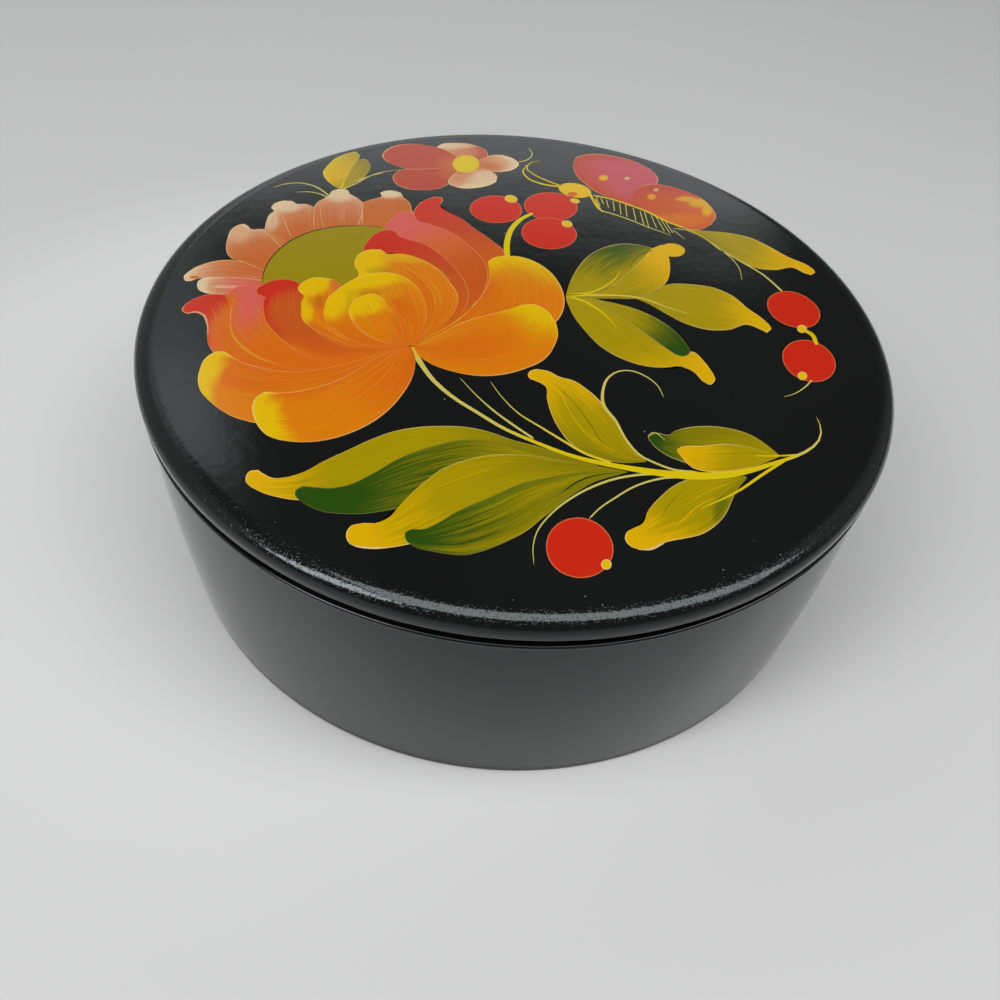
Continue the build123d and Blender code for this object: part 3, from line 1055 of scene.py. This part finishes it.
lower_left_green_stroke = petal(
    left=[(622, 471), (590, 472), (555, 476), (520, 484), (490, 497), (454, 513), (438, 523), (424, 529),
        (411, 529)],
    right=[(622, 474), (595, 482), (572, 495), (544, 517), (525, 532), (501, 544), (480, 552), (466, 555),
        (447, 554), (435, 552), (417, 548), (408, 543)],
    tip=[(405, 533), (405, 538)],
    bands=["moss, 0.3 fern, 0.75 fern, 0.86 leaf", "moss, 0.3 olive, 0.55 moss, 0.72 fern, 0.84 leaf",
        "moss, 0.4 moss, 0.6 moss, 0.78 leaf", "moss, 0.4 moss, 0.7 olive, 0.84 fern, 0.9 leaf"],
    light="olive", deep="leaf", grain=0.8, rim=0.12, carry=0.12, bare_tip=0.16,
)
painted(
    "left_branch_leaves", 1,
    upper_left_leaf,
    upper_left_green_stroke,
    lower_left_leaf,
    lower_left_green_stroke,
    [line([(620, 472.5), (598, 475), (577, 482), (562, 492)], (0.12, 0.3, 0.35, 0.12), "leaf"),
     line([(590, 476), (572, 486), (556, 498)], (0.12, 0.3, 0.12), "fern"),
     line([(352, 545), (362, 547.5), (374, 548), (386, 547.5)], (0.12, 0.35, 0.3, 0.1), "cream")],
)

# Lower branch leaves
# Three smaller leaves of the same two-colour strokes, held on short stalks off the main stem.
upright_leaf = petal(
    left=[(646, 462), (625, 463), (608, 461), (588, 455), (572, 445), (559, 429), (551, 413), (547, 399),
        (545, 386), (536, 381), (530, 379)],
    right=[(646, 460), (640, 455), (632, 449), (625, 436), (615, 419), (604, 405), (588, 390), (572, 380),
        (560, 377), (548, 371), (536, 369)],
    tip=[(528, 376), (530, 371)],
    bands=["moss, 0.3 moss, 0.6 olive, 0.84 gold", "moss, 0.3 olive, 0.66 olive, 0.82 gold",
        "olive, 0.4 olive, 0.6 gold"],
    light="gold", deep="moss", grain=0.65, carry=0.06,
)
far_green_leaf = petal(
    left=[(779, 457), (750, 463), (720, 467), (697, 466), (680, 461), (666, 455), (655, 447), (649, 440)],
    right=[(779, 455), (767, 445), (751, 435), (728, 428), (705, 426), (685, 428), (675, 431), (668, 435),
        (659, 433), (652, 432)],
    tip=[(648, 436)],
    bands=["olive, 0.5 olive, 0.74 fern, 0.84 leaf", "olive, 0.5 moss, 0.78 moss, 0.86 leaf"], light="olive",
    deep="fern", grain=0.6, carry=0.05,
)
near_yellow_leaf = petal(
    left=[(779, 457), (756, 466), (733, 471), (710, 472), (693, 468), (683, 459), (679, 454)],
    right=[(779, 455), (750, 447), (725, 444), (700, 446), (686, 446), (681, 447)],
    tip=[(677, 450)], bands=["olive, 0.5 olive, 0.78 gold"], light="gold", deep="moss", grain=0.6, carry=0.06,
)
hanging_leaf = petal(
    left=[(745, 476), (720, 477), (692, 478), (675, 485), (659, 498), (648, 511), (642, 524), (634, 528)],
    right=[(747, 478), (736, 492), (732, 501), (726, 514), (714, 527), (700, 535), (687, 538), (664, 543),
        (652, 549), (641, 550)],
    tip=[(627, 532), (625, 539), (630, 546)],
    bands=["moss, 0.2 olive, 0.74 olive, 0.9 gold", "moss, 0.3 olive, 0.68 olive, 0.84 gold",
        "moss, 0.3 moss, 0.56 olive, 0.74 gold"],
    light="gold", deep="moss", grain=0.5, carry=0.06, blushes=[((722, 512), (9, 16), "fern", 0.8)],
)
painted(
    "lower_branch_leaves", 1,
    [upright_leaf, far_green_leaf, hanging_leaf],
    [near_yellow_leaf,
     line([(560, 392), (570, 412), (588, 436), (612, 455)], (0.15, 0.3, 0.3, 0.15), "gold", end_pot="olive"),
     line([(561, 391), (574, 402), (590, 424), (604, 446)], (0.1, 0.2, 0.25, 0.1), "moss", end_pot="fern"),
     line([(648, 437), (655, 433), (665, 440)], (0.1, 0.25, 0.1), "straw"),
     line([(683, 491), (672, 501), (662, 517)], (0.1, 0.22, 0.1), "moss"),
     line([(638, 549.5), (650, 549.5), (664, 543.5)], (0.12, 0.35, 0.12), "cream"),
     line([(715, 497), (697, 507), (684, 519), (672, 530)], (0.12, 0.25, 0.25, 0.12), "gold")],
)

# Lower branch stems
# Thin lines drawn with the tip of a fine brush in pale yellow, pressed harder where the stems join.
stem_middle = [(408, 345), (419, 361), (433, 380), (454, 398), (478, 413), (501, 427), (537, 443), (572, 456),
    (600, 463), (627, 468), (659, 473), (696, 475), (728, 474), (756, 469), (778, 462), (799, 455),
    (813, 447), (820, 438), (821, 429), (816, 416)]
painted(
    "lower_branch_stems", 6,
    [line([(460, 378), (475, 394), (494, 411), (516, 427), (534, 439)], (0.1, 0.2, 0.4, 0.5, 0.5)),
     line([(664, 398), (657, 385), (645, 376), (632, 371), (620, 371), (609, 377), (603, 390), (604, 406),
         (615, 420), (627, 441), (641, 456), (655, 463), (675, 470), (698, 472)],
         (0.12, 0.3, 0.35, 0.55, 0.7, 0.5, 0.45, 0.5, 0.5)),
     line([(755, 456), (776, 456), (799, 455)], (0.25, 0.35, 0.5), "lemon"),
     line([(787, 459), (765, 473), (735, 493), (700, 509)], (0.6, 0.6, 0.45, 0.12), "lemon")],
    [line([(490, 381), (501, 396), (518, 413), (542, 428), (565, 442), (584, 453), (612, 463)],
         (0.1, 0.2, 0.35, 0.5, 0.55, 0.6), end_pot="lemon"),
     line([(700, 477), (659, 479), (636, 486), (615, 498), (599, 509), (589, 519)],
         (0.6, 0.5, 0.4, 0.35, 0.25)),
     line([(672, 474), (638, 475), (615, 479), (590, 488), (567, 501), (549, 516), (537, 532), (533, 548),
         (534, 565)], (0.6, 0.55, 0.5, 0.4, 0.25, 0.1))],
    line(stem_middle, (1.2, 0.95, 0.75, 0.75, 0.85, 1.0, 1.3, 1.3, 0.9, 0.55, 0.12), "straw"),
    line([(500, 427), (537, 443), (572, 456), (600, 463), (627, 468), (659, 473), (696, 476), (728, 475),
        (756, 469), (778, 462), (800, 455)], (0.2, 0.7, 0.9, 1.2, 1.6, 2.0, 1.5, 1.0, 0.4), "lemon"),
    line([(407, 344.5), (411, 349), (416, 356), (424, 367)], (1.4, 1.5, 1.1, 0.7), "yellow", end_pot="straw"),
)

# Right sprig
# Four short strokes fan out from the edge of the peony, with fine pale veins laid over them.
sprig_green_stroke = petal(
    left=[(566, 295), (569, 285), (577, 269), (590, 255), (606, 247), (622, 244), (638, 245), (651, 248)],
    right=[(568, 296), (600, 291), (622, 280), (638, 266), (648, 256), (654, 250)],
    bands=["olive, 0.32 olive, 0.46 fern, 0.58 leaf, 0.9 leaf, 1 fern",
        "olive, 0.4 olive, 0.56 fern, 0.7 leaf, 0.85 fern, 1 moss", "olive, 0.6 olive"],
    light="olive", deep="fern", grain=0.7, carry=0.12,
)
sprig_upper_leaf = petal(
    left=[(568, 297), (605, 290), (628, 273), (644, 258), (652, 249), (662, 245)],
    right=[(568, 298), (614, 299), (641, 298), (654, 292), (666, 283), (670, 270), (669, 258)],
    tip=[(667, 250)],
    bands=["olive, 0.6 olive, 0.8 gold", "olive, 0.5 olive, 0.78 gold",
        "moss, 0.35 moss, 0.55 olive, 0.8 gold"],
    light="gold", deep="moss", grain=0.5, rim=0.3, carry=0.05,
)
sprig_right_leaf = petal(
    left=[(636, 297), (651, 294), (667, 285), (694, 285), (713, 288), (732, 296), (748, 309), (761, 318),
        (769, 325)],
    right=[(636, 299), (644, 302), (668, 315), (686, 324), (708, 330), (729, 330), (748, 325), (761, 330),
        (767, 333)],
    tip=[(771, 329)], bands=["olive, 0.55 olive, 0.75 gold", "olive, 0.66 olive, 0.84 gold"], light="gold",
    deep="moss", grain=0.45, carry=0.05,
)
sprig_lower_leaf = petal(
    left=[(566, 300), (574, 317), (585, 331), (601, 347), (622, 359), (644, 366), (665, 368), (681, 367),
        (692, 371), (702, 381)],
    right=[(566, 297), (595, 299), (622, 310), (648, 325), (668, 343), (682, 356), (692, 352), (705, 363),
        (713, 374)],
    tip=[(710, 385), (715, 380)], bands=["olive, 0.5 olive, 0.8 gold", "olive, 0.6 olive, 0.82 gold"],
    light="gold", deep="moss", grain=0.55, carry=0.06,
)
sprig_dark_stroke = petal(
    left=[(590, 299), (612, 303), (628, 307), (649, 315), (668, 326), (681, 338), (689, 349)],
    right=[(590, 301), (608, 312), (630, 324), (648, 336), (662, 346), (675, 355)],
    tip=[(690, 353), (684, 357)],
    bands=["olive, 0.4 olive, 0.62 fern, 0.72 leaf", "olive, 0.5 olive, 0.7 fern, 0.8 leaf"], light="olive",
    deep="leaf", grain=0.6, rim=0.3, carry=0.08,
)
painted(
    "right_sprig_leaves", 20,
    [sprig_green_stroke, sprig_lower_leaf, sprig_right_leaf],
    [sprig_upper_leaf, sprig_dark_stroke],
    [dab((672.5, 250.5), (12.4, 6.6), 6, pot="gold", rim=0),
     line([(653, 251), (645, 253), (636, 259), (629, 268)], (0.3, 0.3, 0.25, 0.1), "fern"),
     line([(569, 295), (590, 293), (606, 286), (616, 278), (620, 271)], (0.7, 0.5, 0.35, 0.12), "lemon"),
     line([(567, 296), (601, 295.5), (641, 298.5), (668, 308), (690, 315)], (0.8, 0.6, 0.5, 0.4, 0.15),
         "lemon", end_pot="straw"),
     line([(566, 296), (585, 302), (601, 312), (617, 328)], (0.7, 0.5, 0.35, 0.12), "lemon")],
)

# Upper right branch
# A fine stem with one narrow leaf, which ends in two berries.
upper_right_leaf = petal(
    left=[(684, 229), (708, 231), (729, 233), (751, 238), (770, 247), (788, 257), (807, 265), (813, 269)],
    right=[(684, 230), (702, 237), (721, 249), (740, 261), (756, 268), (775, 270), (794, 268), (804, 273),
        (811, 275)],
    tip=[(815, 272)], bands=["olive, 0.5 olive, 0.72 gold", "moss, 0.5 olive, 0.82 gold"], light="gold",
    deep="moss", grain=0.45,
)
painted(
    "upper_right_branch", 1,
    [line([(673, 228), (694, 232), (721, 250), (740, 261), (762, 274), (783, 292)],
         (0.3, 0.45, 0.45, 0.45, 0.6), "straw"),
     line([(721, 250), (732, 259), (739, 268), (742, 280)], (0.25, 0.25, 0.2, 0.1), "straw")],
    upper_right_leaf,
    line([(684, 228), (701, 236), (719, 249)], (0.3, 0.3, 0.15), "lemon"),
)

# Small blossom
# Five petals pressed with the side of the brush, red on the left and cream on the right, round a yellow eye.
blossom_red_band = "peach, 0.25 dusty"
blossom_cream_band = "apricot, 0.4 peach, 0.78 shell, 0.92 cream"
blossom_top_petal = petal(
    left=[(464, 164), (452, 156), (442, 151), (437, 147)],
    right=[(470, 164), (484, 160), (488, 156), (486, 150)],
    tip=[(442, 144), (456, 143), (470, 144), (480, 147)], bands=[blossom_cream_band, blossom_red_band],
    light="shell", deep="dusty", grain=0.3,
    blushes=[((456, 146), (17, 3), "cream", 0.6), ((466, 154), (12, 6), "peach", 0.6)],
)
blossom_right_petal = petal(
    left=[(470, 162), (484, 158), (492, 155), (502, 155)],
    right=[(470, 165), (484, 170), (494, 172), (502, 172)],
    tip=[(512, 158), (519, 164), (512, 170)], bands=[blossom_cream_band], light="shell", deep="peach",
    grain=0.4, blushes=[((488, 168), (14, 5), "apricot", 0.7)],
)
blossom_low_right_petal = petal(
    left=[(464, 166), (452, 176), (448, 182), (450, 185)],
    right=[(470, 165), (488, 170), (497, 176), (496, 182)],
    tip=[(460, 188), (476, 188), (490, 185)], bands=[blossom_cream_band, blossom_cream_band], light="cream",
    deep="peach", grain=0.4,
    blushes=[((484, 179), (13, 9), "cream", 0.8), ((455, 181), (10, 6), "peach", 0.6)],
)
blossom_low_left_petal = petal(
    left=[(462, 166), (430, 168), (410, 168), (399, 170)],
    right=[(464, 168), (454, 178), (447, 185), (438, 189)],
    tip=[(393, 176), (396, 184), (408, 189), (424, 190)], bands=[blossom_red_band], light="peach",
    deep="dusty", grain=0.2, blushes=[((452, 172), (13, 7), "apricot", 0.6)],
)
blossom_left_petal = petal(
    left=[(464, 163), (450, 152), (440, 148), (430, 146)],
    right=[(462, 166), (430, 169), (408, 169), (394, 165)],
    tip=[(416, 144), (398, 145), (386, 150), (382, 156), (386, 161)], bands=[blossom_red_band], light="peach",
    deep="dusty", grain=0.2, blushes=[((450, 163), (14, 7), "apricot", 0.6)],
)
painted(
    "small_blossom", 1,
    [blossom_top_petal, blossom_low_left_petal],
    [blossom_right_petal, blossom_left_petal],
    blossom_low_right_petal,
    [dab((466, 164), (13.5, 9), pot="lemon", rim_pot="gold", grain=0.3, rim=0),
     line([(519, 162), (527, 160), (532, 155), (529, 148)], (0.35, 0.35, 0.25, 0.12)),
     line([(383, 173), (370, 176), (355, 182)], (0.2, 0.25, 0.25))],
)

# Bud
# Two strokes of yellow on a thread of a stem, with two curling tendrils beside it.
bud_left_stroke = petal(
    left=[(339, 189), (331, 184), (325, 178), (323, 172), (327, 166)],
    right=[(341, 189), (347, 178), (354, 166), (360, 156)],
    tip=[(336, 158), (346, 154), (356, 152)], bands=["olive, 0.4 gold, 1 lemon", "olive, 0.4 gold, 1 olive"],
    light="lemon", deep="olive", grain=0.4,
)
bud_right_stroke = petal(
    left=[(340, 189), (346, 177), (352, 166), (357, 160)],
    right=[(342, 189), (352, 184), (364, 177), (370, 170)],
    tip=[(364, 159), (370, 164)], bands=["olive, 0.5 olive, 1 moss"], light="gold", deep="moss", grain=0.4,
)
painted(
    "bud", 1,
    [bud_left_stroke, line([(273, 188), (281, 185), (300, 183), (314, 186), (323, 191), (329, 196)],
         (0.1, 0.3, 0.35, 0.45, 0.4)),
     line([(295, 192), (311, 192), (320, 194), (327, 197)], (0.1, 0.25, 0.3, 0.4))],
    bud_right_stroke,
    [line([(343, 189), (355, 184), (370, 176), (383, 172), (398, 170)], (0.5, 0.4, 0.3, 0.12)),
     line([(341, 188), (346, 178)], (0.6, 0.1), "lemon")],
)

# Butterfly
# Two pressed wing strokes, a dark ribbed body ruled with fine yellow lines, and a round head with feelers.
left_wing = petal(
    left=[(628, 206), (610, 198), (596, 192), (585, 184), (576, 175), (573, 166)],
    right=[(634, 205), (650, 192), (657, 184), (658, 178), (650, 169)],
    tip=[(577, 157), (593, 154), (614, 156), (636, 162)],
    bands=["brick, 0.5 brick, 1 dusty", "brick, 0.3 pink, 0.8 pink, 1 dusty", "brick, 0.4 pink"],
    light="pink", deep="dusty", grain=0.2,
)
right_wing = petal(
    left=[(634, 205), (662, 219), (682, 228), (698, 230), (711, 225)],
    right=[(632, 198), (638, 188), (652, 184), (672, 187), (688, 192)],
    tip=[(716, 217), (711, 207), (699, 197)],
    bands=["brick, 0.4 rust", "brick, 0.6 rust, 1 coral", "dusty, 0.7 dusty, 1 brick"], light="coral",
    deep="brick", grain=0.2,
    blushes=[((680, 220), (26, 7), "orange", 0.5), ((686, 199), (9, 2.5), "gold", 0.8),
        ((698, 203), (9, 4), "gold", 0.9), ((707, 210), (5, 6), "gold", 0.9)],
)
body_stroke = petal(
    left=[(594, 197), (620, 204), (645, 213), (669, 223)],
    right=[(598, 207), (614, 214), (640, 223), (668, 234)],
    bands=["ink, 0.2 peat"], light="ink", deep="pine", grain=0.3, rim=0,
)
top_line_pixels = [(592.5, 195.3), (608.8, 198.6), (629.4, 205), (646.8, 211.6), (668.5, 222.4),
    (684.7, 227.9)]
under_line_pixels = [(594.7, 204), (601, 210.5), (612, 213.8), (629.4, 219.7), (646.8, 226.8), (657.6, 230.6),
    (671.7, 236)]
rib_pixels = [((596, 197), (600, 206)), ((601, 198), (603.5, 204)), ((606.5, 200), (608.5, 208)),
    ((613, 201), (614.5, 211)), ((619.5, 203), (621, 215)), ((625.5, 205), (627, 217)),
    ((633, 208), (636, 221)), ((640, 211), (644, 225)), ((644.5, 212), (649, 228)),
    ((651, 215), (656.5, 228)), ((656, 217), (664.5, 231.5)), ((660.5, 219), (670, 233.5)),
    ((665.5, 222), (673, 233))]
painted(
    "butterfly", 4,
    [left_wing],
    [right_wing],
    [dab((603.5, 178), (5, 3), pot="gold", rim_pot="coral", rim=0),
     dab((627, 178.5), (3, 1.8), pot="shell", rim_pot="pink", rim=0),
     dab((651.5, 197), (4.5, 3), pot="amber", rim_pot="coral", rim=0),
     dab((656, 190), (2.8, 1.6), pot="shell", rim_pot="coral", rim=0),
     dab((678, 199), (2.5, 1.4), pot="amber", rim_pot="coral", rim=0), body_stroke],
    [line(list(pair), (0.22, 0.22), pot="straw") for pair in rib_pixels],
    [line(top_line_pixels, (0.55, 0.5, 0.6, 0.6, 0.45), "lemon"),
     line(under_line_pixels, (0.5, 0.4, 0.35, 0.3, 0.1), "straw"),
     line([(672.8, 230), (678, 234), (684.7, 239)], (0.25, 0.2, 0.1), "straw"),
     dab((575, 190.5), (16.5, 7), tilt=10, pot="yellow", rim_pot="gold", grain=0.2, rim=0.2)],
    [line([(588, 191), (593, 200), (596.5, 207.5)], (0.8, 0.7, 0.2), "lemon"),
     dab((572.5, 194.3), (4.8, 2.2), pot="flame", rim_pot="brick", grain=0, rim=0),
     line([(594, 199), (598, 206), (602, 212)], (0.6, 0.6, 0.3), "lemon"),
     line([(560, 187), (542, 184), (529, 179), (523, 172), (527, 165)], (0.6, 0.6, 0.45, 0.4, 0.15), "lemon"),
     line([(561, 186), (545, 180), (533, 174), (527, 169), (531, 163), (540, 161)],
         (0.5, 0.45, 0.35, 0.3, 0.1), "lemon")],
)

# Berries
# Each berry is a dab of red from a fingertip, with a dot of yellow set on its edge with a stick end.
# Each row: the berry's middle, reach and tilt, then the middle and reach of its dot
berries = (((496, 209.3), (26.3, 13.7), 3, (511, 199), (6.5, 3.8)),
    ((551, 206.5), (27, 14.2), 4, (575, 201), (4.8, 2.4)),
    ((549, 233.5), (28, 15.6), 4, (567, 224), (5.6, 3.4)),
    ((793.6, 309.7), (27.5, 17), 20, (802, 329), (5, 4)),
    ((809, 361), (27.5, 20), 22, (802.4, 376), (4.8, 4.2)),
    ((579.5, 548), (33.8, 30.2), 12, (606.3, 564.6), (5.4, 5.2)))
painted(
    "berries", 1,
    *[dab(middle, reach, tilt) for middle, reach, tilt, _, _ in berries],
)
painted(
    "berry_dots", 1 + len(berries),
    [line([(507, 257), (507, 243), (511, 230), (520, 220), (533, 213)], (1.4, 1.4, 1.3, 1.2, 0.8), "lemon"),
     line([(801, 329), (811, 334), (817, 345)], (1.2, 1.1, 0.8), "gold", end_pot="lemon"),
     line([(812, 380), (804, 388), (794, 394), (784, 397)], (0.35, 0.3, 0.2, 0.1))],
    [dab(middle, reach, 10, pot="yellow", rim_pot="shell", rim=0.4) for _, _, _, middle, reach in berries],
)

# Table
# A plain pale sheet under the box, which the polished wall mirrors.
# It is painted a little paler round the box: a painted pool of light.
floor_size = 3.0
floor_cells = 5
floor_roughness = 0.6
floor_tones = linear(207, 207, 207), linear(212, 212, 212)
# A painted pool of light round the box: its tone, its middle and where it fades out
light_pool_tone = linear(224, 224, 224)
light_pool_centre = (-0.04, 0.02)
light_pool_fade = (0.15, 0.08)
floor_mesh = bpy.data.meshes.new("table")
floor_corners = [(x * floor_size, y * floor_size, 0) for x, y in ((-1, -1), (1, -1), (1, 1), (-1, 1))]
floor_mesh.from_pydata(floor_corners, [], [(0, 1, 2, 3)])
floor_shade = Shade(bpy.data.materials.new("table"))
floor_spot, floor_x, floor_y, _ = floor_shade.place()
floor_colour = floor_shade.mix(floor_shade.noise(floor_spot, floor_cells), *floor_tones)
# Painted light: the sheet is paler towards the middle of the pool
off_x, off_y = floor_x - light_pool_centre[0], floor_y - light_pool_centre[1]
painted_light = (off_x * off_x + off_y * off_y).math("SQRT").step(*light_pool_fade)
floor_colour = floor_shade.mix(painted_light, floor_colour, light_pool_tone)
floor_mesh.materials.append(floor_shade.paint(base_color=floor_colour, roughness=floor_roughness))
floor = bpy.data.objects.new("table", floor_mesh)
bpy.context.scene.collection.objects.link(floor)

# Light
# Two broad soft lamps, end to end above the front of the table, light it and glint in the lid's edge.
# The room is dim but for pale walls at the left and right, a low glow behind the box and a bright pane.
# Each lamp: its place and its size in metres, its turn in degrees and its power in watts
lamps = {
    "middle_lamp": ((0.416, -0.188, 0.986), (1.625, 0.45), 5, 9.4),
    "left_lamp": ((-0.854, -0.615, 0.986), (0.975, 0.35), 18, 8.9),
}
for lamp_name, (lamp_place, lamp_size, lamp_turn, lamp_power) in lamps.items():
    lamp_data = bpy.data.lights.new(lamp_name, "AREA")
    lamp_data.shape = "RECTANGLE"
    lamp_data.size, lamp_data.size_y = lamp_size
    lamp_data.energy = lamp_power
    lamp = bpy.data.objects.new(lamp_name, lamp_data)
    lamp.location = lamp_place
    lamp.rotation_euler = (0, 0, math.radians(lamp_turn))
    bpy.context.scene.collection.objects.link(lamp)

room_level = 0.08
low_glow_level = 1.05
low_glow_least = 0.45
left_wall_level = 0.24
seen_backdrop_level = 0.60
backdrop_tint = (0.98, 1.0, 1.0, 1.0)
room = bpy.data.worlds.new("room")
bpy.context.scene.world = room
room_shade = Shade(room)
look = room_shade.node("ShaderNodeTexCoord", {}, {})["Generated"]
way = room_shade.node("ShaderNodeSeparateXYZ", {}, {"Vector": look})
flat_length = (way["X"] * way["X"] + way["Y"] * way["Y"]).math("SQRT")
up = way["Z"]
sideways = way["X"] / flat_length
forward = way["Y"] / flat_length
behind = (way["Y"], 0.0, 0.1)


def lit(*limits):
    """A soft-edged patch of the room. Each limit is a direction, where it is dark and where it is lit."""
    patch, *others = [direction.step(dark, full) for direction, dark, full in limits]
    for other in others:
        patch = patch * other
    return patch


low_glow = lit((up, 0.575, 0.475), (sideways, 0.30, 0.20), (sideways, -0.52, -0.34), behind)
low_glow = low_glow * (low_glow_least + (1 - low_glow_least) * up.step(0.05, 0.45))
left_wall = lit((sideways, -0.33, -0.39), (forward, -0.42, -0.30), (up, 0.78, 0.70))
brightness = room_level + low_glow * low_glow_level + left_wall * (1 - low_glow) * left_wall_level

# The other patches of the room: each its level, then its limits
patches = {
    "right_wall": (0.19, (sideways, 0.60, 0.85), behind, (up, 0.05, 0.20), (up, 0.80, 0.74)),
    "window": (
        0.42, (sideways, -0.33, -0.39), (sideways, -0.84, -0.70), behind, (up, 0.50, 0.62), (up, 0.74, 0.69)
    ),
    "bright_pane": (
        0.46, (sideways, -0.36, -0.41), (sideways, -0.60, -0.48), behind, (up, 0.61, 0.66), (up, 0.72, 0.70)
    ),
    "front": (0.42, (forward, 0.1, -0.2), (up, 0.32, 0.02)),
}
for patch_level, *limits in patches.values():
    brightness = brightness + lit(*limits) * patch_level
seen = room_shade.node("ShaderNodeLightPath", {}, {})["Is Camera Ray"]
brightness = brightness * (1 - seen) + seen * seen_backdrop_level
backdrop = room_shade.tree.nodes["Background"]
room_shade.feed(backdrop.inputs["Strength"], brightness)
backdrop.inputs["Color"].default_value = backdrop_tint

bpy.context.scene.view_settings.view_transform = "Standard"
